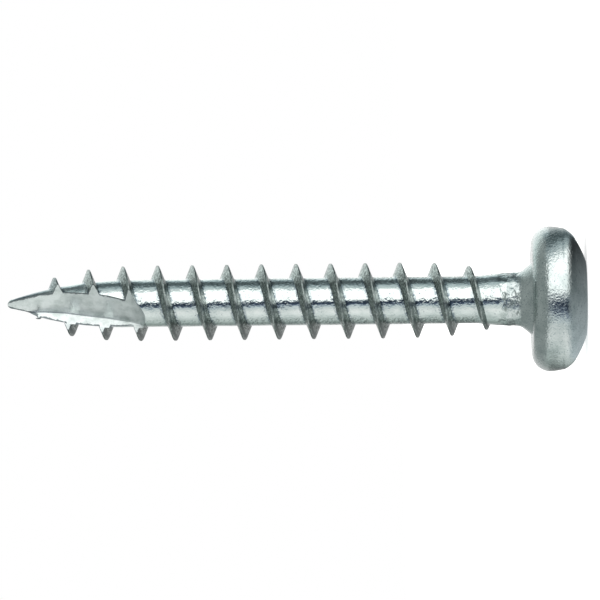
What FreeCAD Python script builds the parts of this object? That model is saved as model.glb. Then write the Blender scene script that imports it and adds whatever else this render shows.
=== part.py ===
import FreeCAD, Part
import math
import os
import Sketcher

# A pan head wood screw with a cut point: one cold-formed piece of zinc-plated steel.
# It is modelled about its own axis, with the bearing face of the head at height 0, the head
# above it and the point below. At the end it is turned over to stand on the flat end of its
# head, because it would roll if it lay, with the cut in its point towards -Y.

# Every size that can be set by itself, in millimetres, or in degrees where its note says so
SIZES = (
    ("screw_length", 35.0, "from the bearing face to the tip"),
    ("head_diameter", 9.7, "widest ring of the head"),
    ("head_height", 3.65, "from the bearing face to the flat end of the head"),
    ("head_rim_radius", 1.2, "round of the rim between the bearing face and the widest ring"),
    ("head_corner_diameter", 9.1, "where the side of the head would meet its dome"),
    ("head_corner_height", 2.5, "height of that corner above the bearing face"),
    ("head_corner_radius", 1.0, "round of that corner"),
    ("head_dome_radius", 7.0, "curve of the dome, seen from the side"),
    ("head_flat_diameter", 5.0, "flat end of the head"),
    ("recess_span", 4.6, "cross recess, across its wings at the mouth"),
    ("recess_wing_width", 1.0, "width of a wing at the mouth"),
    ("recess_floor_span", 2.6, "across the wings at their floor"),
    ("recess_floor_wing_width", 0.7, "width of a wing at its floor"),
    ("recess_depth", 2.1, "from the flat end to the floor of the wings"),
    ("recess_core_diameter", 2.5, "round middle of the recess at the mouth"),
    ("recess_floor_core_diameter", 1.7, "round middle of the recess at the floor"),
    ("recess_pilot_depth", 0.45, "hollow cone below the floor"),
    ("neck_diameter", 4.84, "where the neck meets the bearing face"),
    ("neck_length", 0.75, "cone under the head"),
    ("shank_diameter", 3.6, "plain shank above the thread"),
    ("shank_length", 0.95, "plain shank between the neck and the step"),
    ("step_length", 2.0, "cone from the shank down to the core"),
    ("core_diameter", 3.12, "core of the thread"),
    ("point_length", 8.0, "round taper of the core down to the tip"),
    ("tip_radius", 0.3, "blunt end of the point"),
    ("thread_diameter", 5.0, "over the crests"),
    ("thread_pitch", 2.31, "from one crest to the next"),
    ("thread_angle", 40.0, "degrees between the two flanks"),
    ("thread_crest_width", 0.08, "flat on the crest"),
    ("thread_tip_distance", 1.1, "from the tip to where the ridge begins"),
    ("thread_tip_turn", 136.0, "degrees about the axis where the ridge begins"),
    ("thread_rise_length", 2.6, "over which the ridge rises out of the point"),
    ("thread_rise_height", 0.8, "height of the ridge at the end of that rise"),
    ("thread_growth_length", 9.5, "over which it reaches its full height"),
    ("thread_fade_length", 7.5, "over which the crest sinks into the shank"),
    ("thread_head_distance", 1.75, "from the bearing face to the end of the ridge"),
    ("flute_depth", 0.67, "from the axis to the side wall of the cut in the point"),
    ("flute_length", 3.5, "from the tip to where the cut begins to run out"),
    ("flute_run_out_angle", 14.4, "degrees between the run-out and the axis"),
)

# The ridge starts and ends this deep under the surface, and its foot is sunk into the core.
RIDGE_EMBED = 0.05
RIDGE_FOOT = 0.15
SPLINE_POINTS_PER_TURN = 12
# The cut in the point opens to this side, in degrees about the axis, and its two walls stand
# square to each other.
FLUTE_OPENS_AT = 180.0
# Tools reach past what they cut by this much.
OVERRUN = 1.0
# Two places nearer than this are one.
SAME_PLACE = 1e-4

SKETCH_ORIGIN = (-1, 1)
FLAT_AXIS, UPRIGHT_AXIS = range(-1, -3, -1)
START, END, CENTRE = range(1, 4)

doc = FreeCAD.newDocument("pan_head_wood_screw")


def make_size_sheet():
    """Writes one row a size: its name, its value and what it measures."""
    sheet = doc.addObject("Spreadsheet::Sheet", "sizes")
    for row, (name, value, note) in enumerate(SIZES, start=1):
        sheet.set(f"A{row}", name)
        sheet.set(f"B{row}", str(value))
        sheet.setAlias(f"B{row}", name)
        sheet.set(f"C{row}", note)
    doc.recompute()
    return sheet


sizes = make_size_sheet()


# Sketching

def new_body(name):
    """Adds an empty body."""
    body = doc.addObject("PartDesign::Body", name)
    body.Label = name
    return body


def new_sketch(body, name, role):
    """Adds a sketch on one of the body's own origin planes."""
    plane = next(part for part in body.Origin.OriginFeatures if part.Role == role)
    sketch = body.newObject("Sketcher::SketchObject", name)
    sketch.AttachmentSupport = (plane, "")
    sketch.MapMode = "FlatFace"
    return sketch


def tie(sketch, kind, places, value, formula):
    """Adds one driving dimension and binds it to the sheet."""
    index = sketch.addConstraint(Sketcher.Constraint(kind, *places, value))
    sketch.setExpression(f"Constraints[{index}]", formula)


def tie_point(sketch, point, across=None, up=None, down=None):
    """Ties a point of the sketch to the axis (across) and to height 0 (up or down)."""
    geometry, end = point
    place = sketch.getPoint(geometry, end)
    if across:
        tie(sketch, "DistanceX", (*SKETCH_ORIGIN, *point), place.x, across)
    else:
        sketch.addConstraint(Sketcher.Constraint("PointOnObject", geometry, end, UPRIGHT_AXIS))
    if up:
        tie(sketch, "DistanceY", (*SKETCH_ORIGIN, *point), place.y, up)
    elif down:
        tie(sketch, "DistanceY", (*point, *SKETCH_ORIGIN), -place.y, down)
    else:
        sketch.addConstraint(Sketcher.Constraint("PointOnObject", geometry, end, FLAT_AXIS))


def line(start, end):
    """A straight stretch of an outline."""
    return Part.LineSegment(FreeCAD.Vector(*start), FreeCAD.Vector(*end))


def arc(centre, start, end):
    """A round stretch of an outline, counter-clockwise about its centre."""
    radius = math.dist(centre, start)
    turns = [math.atan2(y - centre[1], x - centre[0]) for x, y in (start, end)]
    circle = Part.Circle(FreeCAD.Vector(*centre), FreeCAD.Vector(0, 0, 1), radius)
    return Part.ArcOfCircle(circle, *turns)


def close_outline(sketch, pieces, smooth=()):
    """Joins the pieces of a closed outline, those in smooth with no corner after them."""
    sketch.addGeometry(pieces, False)
    for i in range(len(pieces)):
        joint = "Tangent" if i in smooth else "Coincident"
        after = (i + 1) % len(pieces)
        sketch.addConstraint(Sketcher.Constraint(joint, i, END, after, START))


def revolve(body, kind, name, sketch):
    """Turns a sketch all round the axis, to add (Revolution) or to cut (Groove)."""
    feature = body.newObject(f"PartDesign::{kind}", name)
    feature.Profile = sketch
    feature.ReferenceAxis = (sketch, ["V_Axis"])
    feature.Angle = 360
    doc.recompute()
    return feature


# The blank: head, neck, shank, core and point, as upset and drawn before the thread is rolled

def point_curve_radius():
    """Radius of the arc that is tangent to the core and to the round of the tip."""
    core = sizes.core_diameter / 2
    run = sizes.point_length - sizes.tip_radius
    return (core**2 + run**2 - sizes.tip_radius**2) / (2 * (core - sizes.tip_radius))


def middle_of_arc(start, end, radius):
    """Centre of the arc of this radius that runs counter-clockwise from start to end."""
    chord = math.dist(start, end)
    reach = math.sqrt(radius**2 - chord**2 / 4)
    along = ((end[0] - start[0]) / chord, (end[1] - start[1]) / chord)
    return (
        (start[0] + end[0]) / 2 - along[1] * reach,
        (start[1] + end[1]) / 2 + along[0] * reach,
    )


def draw_blank(body):
    """Half the blank's section, from the tip up the outside to the flat end of the head."""
    length, rim = sizes.screw_length, sizes.head_rim_radius
    core, shank = sizes.core_diameter / 2, sizes.shank_diameter / 2
    head = sizes.head_diameter / 2
    taper_start = sizes.point_length - length
    curve = point_curve_radius()
    curve_centre = (core - curve, taper_start)
    tip_centre = (0, sizes.tip_radius - length)
    stretch = curve / (curve - sizes.tip_radius)
    tip_edge = tuple(c + (t - c) * stretch for c, t in zip(curve_centre, tip_centre))
    step_top = -(sizes.neck_length + sizes.shank_length)
    corner = (sizes.head_corner_diameter / 2, sizes.head_corner_height)
    widest = (head, rim)
    rise, inset = corner[1] - rim, head - corner[0]
    side_radius = (rise**2 + inset**2) / (2 * inset)
    flat_edge = (sizes.head_flat_diameter / 2, sizes.head_height)
    dome_centre = middle_of_arc(corner, flat_edge, sizes.head_dome_radius)

    tip, taper, core_side, step, shank_side, neck, bearing, rim_arc, side, dome, flat = range(11)
    sketch = new_sketch(body, "blank_outline", "XZ_Plane")
    outline = [
        arc(tip_centre, (0, -length), tip_edge),
        arc(curve_centre, tip_edge, (core, taper_start)),
        line((core, taper_start), (core, step_top - sizes.step_length)),
        line((core, step_top - sizes.step_length), (shank, step_top)),
        line((shank, step_top), (shank, -sizes.neck_length)),
        line((shank, -sizes.neck_length), (sizes.neck_diameter / 2, 0)),
        line((sizes.neck_diameter / 2, 0), (head - rim, 0)),
        arc((head - rim, rim), (head - rim, 0), widest),
        arc((head - side_radius, rim), widest, corner),
        arc(dome_centre, corner, flat_edge),
        line(flat_edge, (0, sizes.head_height)),
        line((0, sizes.head_height), (0, -length)),
    ]
    close_outline(sketch, outline, smooth=(tip, taper, bearing, rim_arc))
    tie_point(sketch, (tip, START), down="sizes.screw_length")
    tie_point(sketch, (tip, CENTRE), down="sizes.screw_length - sizes.tip_radius")
    tie_point(sketch, (core_side, START), "sizes.core_diameter / 2",
              down="sizes.screw_length - sizes.point_length")
    tie_point(sketch, (step, START), "sizes.core_diameter / 2",
              down="sizes.neck_length + sizes.shank_length + sizes.step_length")
    tie_point(sketch, (shank_side, START), "sizes.shank_diameter / 2",
              down="sizes.neck_length + sizes.shank_length")
    tie_point(sketch, (neck, START), "sizes.shank_diameter / 2", down="sizes.neck_length")
    tie_point(sketch, (bearing, START), "sizes.neck_diameter / 2")
    tie_point(sketch, (rim_arc, START), "sizes.head_diameter / 2 - sizes.head_rim_radius")
    tie_point(sketch, (side, START), "sizes.head_diameter / 2", up="sizes.head_rim_radius")
    tie_point(sketch, (dome, START), "sizes.head_corner_diameter / 2",
              up="sizes.head_corner_height")
    tie(sketch, "Radius", (dome,), sizes.head_dome_radius, "sizes.head_dome_radius")
    tie_point(sketch, (flat, START), "sizes.head_flat_diameter / 2", up="sizes.head_height")
    tie_point(sketch, (flat, END), up="sizes.head_height")
    return sketch


def circle_edge(shape, radius, height):
    """Name of the shape's round edge about the axis with this radius and height."""
    for number, edge in enumerate(shape.Edges, start=1):
        if edge.Degenerated or not isinstance(edge.Curve, Part.Circle):
            continue
        if math.dist((edge.Curve.Radius, edge.Curve.Center.z), (radius, height)) < SAME_PLACE:
            return f"Edge{number}"
    raise ValueError(f"no round edge of radius {radius} at height {height}")


def make_blank():
    """The turned form with its rounded head corner and its cross recess."""
    body = new_body("blank")
    turned = revolve(body, "Revolution", "turned_form", draw_blank(body))
    corner = body.newObject("PartDesign::Fillet", "head_corner")
    edge = circle_edge(turned.Shape, sizes.head_corner_diameter / 2, sizes.head_corner_height)
    corner.Base = (turned, [edge])
    corner.setExpression("Radius", "sizes.head_corner_radius")
    doc.recompute()
    before = corner.Shape.Volume
    cut_recess(body)
    if body.Shape.Volume >= before:
        raise ValueError("the cross recess takes nothing off the head")
    return body


# The cross recess, where a driver turns the screw

def draw_slot(body, name, span, width, level):
    """A rectangle across the axis, as long as span and as wide as width, at a level."""
    sketch = new_sketch(body, name, "XY_Plane")
    sketch.setExpression(".AttachmentOffset.Base.z", level)
    half_span, half_width = getattr(sizes, span) / 2, getattr(sizes, width) / 2
    corners = [(x * half_span, y * half_width) for x, y in ((-1, -1), (1, -1), (1, 1), (-1, 1))]
    close_outline(sketch, [line(corners[i], corners[(i + 1) % 4]) for i in range(4)])
    for side, direction in enumerate(("Horizontal", "Vertical") * 2):
        sketch.addConstraint(Sketcher.Constraint(direction, side))
    sketch.addConstraint(
        Sketcher.Constraint("Symmetric", 0, START, 2, START, *SKETCH_ORIGIN)
    )
    tie(sketch, "DistanceX", (0, START, 0, END), 2 * half_span, f"sizes.{span}")
    tie(sketch, "DistanceY", (1, START, 1, END), 2 * half_width, f"sizes.{width}")
    return sketch


def draw_recess_middle(body):
    """Half the section of the recess's round middle, down to its pilot cone."""
    top = sizes.head_height
    floor = top - sizes.recess_depth
    mouth_edge = (sizes.recess_core_diameter / 2, top)
    floor_edge = (sizes.recess_floor_core_diameter / 2, floor)
    bottom = (0, floor - sizes.recess_pilot_depth)
    sketch = new_sketch(body, "recess_middle_outline", "XZ_Plane")
    close_outline(sketch, [
        line(bottom, floor_edge),
        line(floor_edge, mouth_edge),
        line(mouth_edge, (0, top)),
        line((0, top), bottom),
    ])
    floor_level = "sizes.head_height - sizes.recess_depth"
    tie_point(sketch, (0, START), up=f"{floor_level} - sizes.recess_pilot_depth")
    tie_point(sketch, (1, START), "sizes.recess_floor_core_diameter / 2", up=floor_level)
    tie_point(sketch, (2, START), "sizes.recess_core_diameter / 2", up="sizes.head_height")
    tie_point(sketch, (3, START), up="sizes.head_height")
    return sketch


def cut_recess(body):
    """Two crossed tapering slots and a round middle with a pilot cone."""
    mouth = draw_slot(
        body, "recess_mouth", "recess_span", "recess_wing_width", "sizes.head_height"
    )
    floor = draw_slot(
        body, "recess_floor", "recess_floor_span", "recess_floor_wing_width",
        "sizes.head_height - sizes.recess_depth",
    )
    slot = body.newObject("PartDesign::SubtractiveLoft", "recess_wings")
    slot.Profile = mouth
    slot.Sections = [floor]
    slot.Ruled = True
    doc.recompute()
    crossed = body.newObject("PartDesign::PolarPattern", "crossed_wings")
    crossed.Originals = [slot]
    crossed.Axis = (mouth, ["N_Axis"])
    crossed.Angle = 90
    crossed.Occurrences = 2
    body.Tip = crossed
    doc.recompute()
    revolve(body, "Groove", "recess_middle", draw_recess_middle(body))


# The thread: one ridge that rises out of the point, grows, and sinks away under the head

def core_radius_at(height):
    """Radius of the core at a height, round the point too."""
    core = sizes.core_diameter / 2
    below = sizes.point_length - sizes.screw_length - height
    if below <= 0:
        return core
    curve = point_curve_radius()
    return core - curve + math.sqrt(curve**2 - below**2)


def eased(share):
    """Goes smoothly from 0 to 1 as share does, and stays there."""
    share = min(max(share, 0.0), 1.0)
    return share * share * (3 - 2 * share)


def ridge_start():
    """Height where the ridge begins."""
    return sizes.thread_tip_distance - sizes.screw_length


def ridge_turn(height):
    """Degrees about the axis at which the ridge stands at a height."""
    return sizes.thread_tip_turn + 360 * (height - ridge_start()) / sizes.thread_pitch


def ridge_apex(height):
    """Radius at which the two flanks are as near each other as on a full crest."""
    climbed = height - ridge_start()
    full = (sizes.thread_diameter - sizes.core_diameter) / 2
    grown = eased(climbed / sizes.thread_growth_length)
    tall = sizes.thread_rise_height + (full - sizes.thread_rise_height) * grown
    risen = eased(climbed / sizes.thread_rise_length)
    return core_radius_at(height) - RIDGE_EMBED + (tall + RIDGE_EMBED) * risen


def crest_radius(height):
    """Radius of the crest, which sinks below the shank's surface at the head's end."""
    fade_start = -sizes.thread_head_distance - sizes.thread_fade_length
    share = max(0.0, (height - fade_start) / sizes.thread_fade_length)
    sinks_by = (sizes.thread_diameter - sizes.shank_diameter) / 2 + RIDGE_EMBED
    return ridge_apex(height) - sinks_by * share**3


def ridge_section(height):
    """The ridge's four edges at a height: foot, crest, crest and foot, from the tip's side."""
    slope = math.tan(math.radians(sizes.thread_angle / 2))
    apex, crest = ridge_apex(height), crest_radius(height)
    half_crest = sizes.thread_crest_width / 2
    crest_half_width = half_crest + (apex - crest) * slope
    turn = math.radians(ridge_turn(height))
    corners = []
    for side in (-1, 1):
        rough_width = half_crest + (apex - core_radius_at(height)) * slope
        foot = core_radius_at(height + side * rough_width) - RIDGE_FOOT
        foot_half_width = half_crest + (apex - foot) * slope
        corners.append([(foot, height + side * foot_half_width),
                        (crest, height + side * crest_half_width)])
    edges = corners[0] + corners[1][::-1]
    return [FreeCAD.Vector(r * math.cos(turn), r * math.sin(turn), z) for r, z in edges]


def band_between(first, second):
    """The surface of straight lines between two edges that share their knots."""
    band = Part.BSplineSurface()
    band.buildFromPolesMultsKnots(
        [first.getPoles(), second.getPoles()], (2, 2), first.getMultiplicities(),
        (0, 1), first.getKnots(), False, False, 1, first.Degree,
    )
    return band


def make_ridge():
    """The ridge as a closed solid between four helical edges, in faces of half a turn."""
    start, end = ridge_start(), -sizes.thread_head_distance
    turns = (end - start) / sizes.thread_pitch
    spans = math.ceil(turns * SPLINE_POINTS_PER_TURN)
    heights = [start + (end - start) * i / spans for i in range(spans + 1)]
    edges = []
    for corner_points in zip(*(ridge_section(height) for height in heights)):
        edge = Part.BSplineCurve()
        edge.interpolate(Points=list(corner_points), Parameters=heights)
        edges.append(edge)
    bands = [band_between(edges[i], edges[(i + 1) % 4]) for i in range(4)]
    half_turns = math.ceil(2 * turns)
    stops = [start + (end - start) * i / half_turns for i in range(half_turns + 1)]
    faces = [band.toShape(0, 1, *pair) for pair in zip(stops, stops[1:]) for band in bands]
    for height in (start, end):
        faces.append(Part.Face(Part.makePolygon(ridge_section(height), True)))
    shell = Part.makeShell(faces)
    shell.sewShape()
    solid = Part.Solid(shell)
    if solid.Volume < 0:
        solid.reverse()
    ridge = doc.addObject("Part::Feature", "thread_ridge")
    ridge.Label = "thread_ridge"
    ridge.Shape = solid
    return ridge


# The cut in the point: a square notch milled along it, which runs out into the core

def make_flute_cutter():
    """What the notch takes away, drawn with its side wall towards +X and its floor towards +Y."""
    body = new_body("flute_cutter")
    sketch = new_sketch(body, "flute_outline", "YZ_Plane")
    sketch.setExpression(".AttachmentOffset.Base.z", "-sizes.flute_depth")
    reach = sizes.thread_diameter / 2 + OVERRUN
    bottom = -sizes.screw_length - OVERRUN
    bend = sizes.flute_length - sizes.screw_length
    top = bend + reach / math.tan(math.radians(sizes.flute_run_out_angle))
    close_outline(sketch, [
        line((0, bottom), (reach, bottom)),
        line((reach, bottom), (reach, top)),
        line((reach, top), (0, bend)),
        line((0, bend), (0, bottom)),
    ])
    across = f"sizes.thread_diameter / 2 + {OVERRUN}"
    bend_depth = "sizes.screw_length - sizes.flute_length"
    run_out = f"({across}) / tan(sizes.flute_run_out_angle * 1 deg)"
    tie_point(sketch, (0, START), down=f"sizes.screw_length + {OVERRUN}")
    tie_point(sketch, (1, START), across, down=f"sizes.screw_length + {OVERRUN}")
    tie_point(sketch, (2, START), across, down=f"{bend_depth} - {run_out}")
    tie_point(sketch, (3, START), down=bend_depth)
    notch = body.newObject("PartDesign::Pad", "flute_notch")
    notch.Profile = sketch
    notch.setExpression("Length", f"sizes.flute_depth + {across}")
    body.Placement.Rotation = FreeCAD.Rotation(FreeCAD.Vector(0, 0, 1), FLUTE_OPENS_AT - 45)
    doc.recompute()
    return body


def combine(kind, name, base, tool):
    """Fuses two shapes (Fuse) or cuts the second out of the first (Cut)."""
    result = doc.addObject(f"Part::{kind}", name)
    result.Base = base
    result.Tool = tool
    result.Refine = False
    result.Label = name
    doc.recompute()
    return result


blank = make_blank()
threaded = combine("Fuse", "threaded_blank", blank, make_ridge())
screw = combine("Cut", "pan_head_wood_screw", threaded, make_flute_cutter())
# Half a turn about the line between +X and +Y puts the head down and the cut towards -Y.
screw.Placement.Rotation = FreeCAD.Rotation(FreeCAD.Vector(1, 1, 0), 180)
screw.setExpression("Placement.Base.z", "sizes.head_height")
doc.recompute()

failed = [part.Name for part in doc.Objects if {"Invalid", "Error"} & set(part.State)]
if failed:
    raise RuntimeError(f"these failed to compute: {failed}")
for part in (blank, threaded, screw):
    if part.Shape.isNull() or not part.Shape.isValid() or len(part.Shape.Solids) != 1:
        raise RuntimeError(f"{part.Name} is not one sound solid")

os.makedirs("parts", exist_ok=True)
screw.Shape.exportStep(f"parts/{screw.Label}.step")
print(f"volume {screw.Shape.Volume:.2f} mm3, box {screw.Shape.optimalBoundingBox(False, False)}")
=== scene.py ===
"""A pan head wood screw with a coarse thread and a cut point, standing on its head.

All sizes are in millimetres in the classes and become metres where a mesh or a tree is made.
The screw's axis is +Z, the flat end of its head is at height 0 and its tip points up.
"""

import logging
import math
from dataclasses import dataclass
from enum import Enum
from typing import Any, Mapping, Sequence

import bmesh
import bpy
from bmesh.types import BMesh
from bpy.types import Material, Node, NodeSocket, NodeTree, Object
from mathutils import Matrix, Vector


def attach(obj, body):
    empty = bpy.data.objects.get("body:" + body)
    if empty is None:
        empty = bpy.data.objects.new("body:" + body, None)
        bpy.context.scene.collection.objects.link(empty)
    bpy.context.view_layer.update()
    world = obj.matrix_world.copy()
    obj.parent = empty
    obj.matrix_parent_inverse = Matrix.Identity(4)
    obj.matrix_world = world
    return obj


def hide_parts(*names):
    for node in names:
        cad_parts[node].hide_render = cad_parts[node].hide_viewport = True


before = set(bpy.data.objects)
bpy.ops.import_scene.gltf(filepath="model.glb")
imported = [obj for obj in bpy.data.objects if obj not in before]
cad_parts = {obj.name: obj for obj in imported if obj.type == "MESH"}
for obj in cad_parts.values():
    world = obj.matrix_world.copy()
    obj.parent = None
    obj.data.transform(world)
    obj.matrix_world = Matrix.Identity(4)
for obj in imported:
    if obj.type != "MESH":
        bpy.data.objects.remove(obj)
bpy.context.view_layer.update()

log = logging.getLogger("wood_screw")

MM = 0.001
# A noise pattern swings through about a quarter of its range, so that its relief is this many
# times its real depth.
NOISE_SWING = 4

Span = tuple[float, float]
Outline = list[Span]


class Side(Enum):
    """Which way a cutter's wall looks, as seen along the screw's axis."""

    TOWARDS_X = 0
    TOWARDS_Y = 90


class Ray(Enum):
    """The kinds of ray that the studio answers in its own way, by the name of their output."""

    CAMERA = "Is Camera Ray"
    GLOSSY = "Is Glossy Ray"
    TRANSMISSION = "Is Transmission Ray"


def metres(*sizes: float) -> tuple[float, ...]:
    """Turn millimetres into metres."""
    return tuple(size * MM for size in sizes)


def linear(hex_colour: str) -> tuple[float, float, float, float]:
    """Turn an sRGB hex colour into linear light.

    Args:
        hex_colour: six hex digits after a hash sign.

    Returns:
        Red, green, blue and a full alpha, as a shader socket takes them.
    """
    channels = [int(hex_colour[i:i + 2], 16) / 255 for i in (1, 3, 5)]
    light = [c / 12.92 if c <= 0.04045 else ((c + 0.055) / 1.055) ** 2.4 for c in channels]
    return light[0], light[1], light[2], 1.0


def add_node(
    tree: NodeTree,
    kind: str,
    inputs: Sequence[Any] | Mapping[str, Any] = (),
    **settings: Any,
) -> Node:
    """Add one node with its settings and its inputs.

    Args:
        tree: the tree that gets the node.
        kind: the node's type name.
        inputs: what the inputs in use take, in their order or by name: each a value, a socket,
            or a node, which gives its first output in use.
        **settings: the node's own properties.

    Returns:
        The new node.
    """
    node = tree.nodes.new(kind)
    for name, value in settings.items():
        setattr(node, name, value)
    in_use = [socket for socket in node.inputs if socket.enabled]
    if isinstance(inputs, Mapping):
        in_use = [next(socket for socket in in_use if socket.name == name) for name in inputs]
        inputs = inputs.values()
    for socket, value in zip(in_use, inputs):
        if isinstance(value, Node):
            value = next(output for output in value.outputs if output.enabled)
        if isinstance(value, NodeSocket):
            tree.links.new(value, socket)
        else:
            socket.default_value = value
    return node


def new_material(name: str) -> tuple[Material, NodeTree, NodeSocket]:
    """Make a node material.

    Args:
        name: the finish's own name.

    Returns:
        The material, its tree, and the socket that gives a point's Object coordinates.
    """
    material = bpy.data.materials.new(name)
    material.use_nodes = True
    tree = material.node_tree
    tree.nodes.clear()
    return material, tree, add_node(tree, "ShaderNodeTexCoord").outputs["Object"]


def show_metal(tree: NodeTree, colour: Node, roughness: Node | float, normal: Node) -> None:
    """End a material's tree with bare metal.

    Args:
        tree: the material's tree.
        colour: the node that gives the metal's colour.
        roughness: its roughness, or the node that gives it.
        normal: the node that gives its normal.
    """
    metal = add_node(tree, "ShaderNodeBsdfPrincipled", {
        "Base Color": colour, "Metallic": 1.0, "Roughness": roughness, "Normal": normal,
    })
    add_node(tree, "ShaderNodeOutputMaterial", (metal,))


def new_piece(name: str, mesh: BMesh) -> Object:
    """Turn mesh data into an object at the origin, with its faces outwards.

    Args:
        name: name of the object and of its mesh.
        mesh: the mesh data, which is freed.

    Returns:
        The object, linked into the scene.
    """
    bmesh.ops.recalc_face_normals(mesh, faces=mesh.faces)
    data = bpy.data.meshes.new(name)
    mesh.to_mesh(data)
    mesh.free()
    piece = bpy.data.objects.new(name, data)
    bpy.context.scene.collection.objects.link(piece)
    return piece


def apply_modifiers(piece: Object) -> None:
    """Replace a piece's mesh by what its modifiers make of it, and remove them.

    Args:
        piece: the object, which keeps its name.
    """
    graph = bpy.context.evaluated_depsgraph_get()
    result = bpy.data.meshes.new_from_object(
        piece.evaluated_get(graph), preserve_all_data_layers=True, depsgraph=graph
    )
    piece.modifiers.clear()
    piece.data = result
    result.name = piece.name


def spin(outline: Outline, segments: int) -> BMesh:
    """Turn an outline about the screw's axis.

    Args:
        outline: radius and height of each point, in millimetres. A radius of 0 makes a pole.
        segments: how many faces go round.

    Returns:
        The turned mesh, in metres.
    """
    mesh = bmesh.new()
    rings = []
    for radius, height in outline:
        turns = [2 * math.pi * k / segments for k in range(segments if radius else 1)]
        places = [(radius * math.cos(t), radius * math.sin(t), height) for t in turns]
        rings.append([mesh.verts.new(Vector(place) * MM) for place in places])
    for lower, upper in zip(rings, rings[1:]):
        for k in range(segments):
            after = (k + 1) % segments
            corners = [lower[k % len(lower)], lower[after % len(lower)],
                       upper[after % len(upper)], upper[k % len(upper)]]
            mesh.faces.new(list(dict.fromkeys(corners)))
    return mesh


def loft(mesh: BMesh, rings: Sequence[Sequence[Vector]]) -> None:
    """Close a body over rings of corners, with a flat face at each end.

    Args:
        mesh: the mesh that gets the body.
        rings: the corners of each ring, in millimetres and in the same order.
    """
    placed = [[mesh.verts.new(corner * MM) for corner in ring] for ring in rings]
    for lower, upper in zip(placed, placed[1:]):
        for k in range(len(lower)):
            after = (k + 1) % len(lower)
            mesh.faces.new([lower[k], lower[after], upper[after], upper[k]])
    mesh.faces.new(placed[0])
    mesh.faces.new(placed[-1])


def arc_points(centre: Span, start: Span, end: Span, steps: int) -> Outline:
    """Divide the shorter arc about a centre.

    Args:
        centre: middle of the arc.
        start: where it starts.
        end: where it ends, at the same radius.
        steps: how many stretches it is divided into.

    Returns:
        The points from start to end.
    """
    radius = math.dist(centre, start)
    first, last = (math.atan2(p[1] - centre[1], p[0] - centre[0]) for p in (start, end))
    sweep = math.remainder(last - first, 2 * math.pi)
    turns = [first + sweep * k / steps for k in range(steps + 1)]
    return [(centre[0] + radius * math.cos(t), centre[1] + radius * math.sin(t)) for t in turns]


def arc_centre(start: Span, end: Span, radius: float) -> Span:
    """Find the middle of the arc that bulges away from the axis and from the thread.

    Args:
        start: one end of the arc.
        end: the other end, anticlockwise about the middle.
        radius: the arc's radius.

    Returns:
        The middle of the arc.
    """
    chord = math.dist(start, end)
    reach = math.sqrt(radius**2 - chord**2 / 4)
    along = ((end[0] - start[0]) / chord, (end[1] - start[1]) / chord)
    return ((start[0] + end[0]) / 2 - along[1] * reach, (start[1] + end[1]) / 2 + along[0] * reach)


# Finishes


@dataclass(frozen=True)
class Pattern:
    """A noise pattern of a finish, with the real size of what it draws."""

    size: float
    detail: float = 2.0
    roughness: float = 0.5
    distortion: float = 0.0
    # The noise at which a patch begins and at which it is full.
    edge: Span = (0.0, 1.0)
    depth: float = 0.0

    def noise(self, tree: NodeTree, place: NodeSocket) -> Node:
        """Draw the noise.

        Args:
            tree: a material's tree.
            place: the socket that gives the point.

        Returns:
            The node that gives the noise.
        """
        return add_node(tree, "ShaderNodeTexNoise", {
            "Vector": place, "Scale": 1 / (self.size * MM), "Detail": self.detail,
            "Roughness": self.roughness, "Distortion": self.distortion,
        })

    def patches(self, tree: NodeTree, noise: Node, most: float = 1.0) -> Node:
        """Turn the noise into patches with soft edges.

        Args:
            tree: a material's tree.
            noise: the node that gives the noise.
            most: the share in the middle of a patch.

        Returns:
            The node that gives the share.
        """
        return add_node(tree, "ShaderNodeMapRange", (noise, *self.edge, 0.0, most))

    def relief(self, tree: NodeTree, place: Any, strength: Any = 1.0, **under: Node) -> Node:
        """Make the pattern stand in relief.

        Args:
            tree: a material's tree.
            place: the node or socket that gives the point.
            strength: how much of the depth shows, or the node that gives it.
            **under: as Normal, the relief that this one lies on.

        Returns:
            The node that gives the normal.
        """
        return add_node(tree, "ShaderNodeBump", {
            "Height": self.noise(tree, place), "Distance": self.depth * MM * NOISE_SWING,
            "Strength": strength, **under,
        })


@dataclass(frozen=True)
class TornBand:
    """The band under the head that the dies' ends have torn into small flat facets."""

    start: float = 4.25
    end: float = 5.95
    fade: float = 0.25
    facet_size: float = 0.5
    tilt: float = 0.3

    def tilted(self, tree: NodeTree, place: NodeSocket, normal: Node) -> Node:
        """Turn the surface's normal by a chance amount on each facet of the band.

        Args:
            tree: a material's tree.
            place: the socket that gives the point.
            normal: the node that gives the normal so far.

        Returns:
            The node that gives the turned normal.
        """
        facets = add_node(tree, "ShaderNodeTexVoronoi", {
            "Vector": place, "Scale": 1 / (self.facet_size * MM),
        })
        centred = add_node(tree, "ShaderNodeVectorMath", (
            facets.outputs["Color"], (0.5, 0.5, 0.5),
        ), operation="SUBTRACT")
        height = add_node(tree, "ShaderNodeSeparateXYZ", (place,)).outputs["Z"]
        begun = add_node(tree, "ShaderNodeMapRange", (
            height, *metres(self.start, self.start + self.fade), 0.0, self.tilt,
        ))
        left = add_node(tree, "ShaderNodeMapRange", (
            height, *metres(self.end - self.fade, self.end), 1.0, 0.0,
        ))
        amount = add_node(tree, "ShaderNodeMath", (begun, left), operation="MULTIPLY")
        turned = add_node(tree, "ShaderNodeVectorMath", (centred, amount), operation="SCALE")
        both = add_node(tree, "ShaderNodeVectorMath", (normal, turned), operation="ADD")
        return add_node(tree, "ShaderNodeVectorMath", (both,), operation="NORMALIZE")


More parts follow.
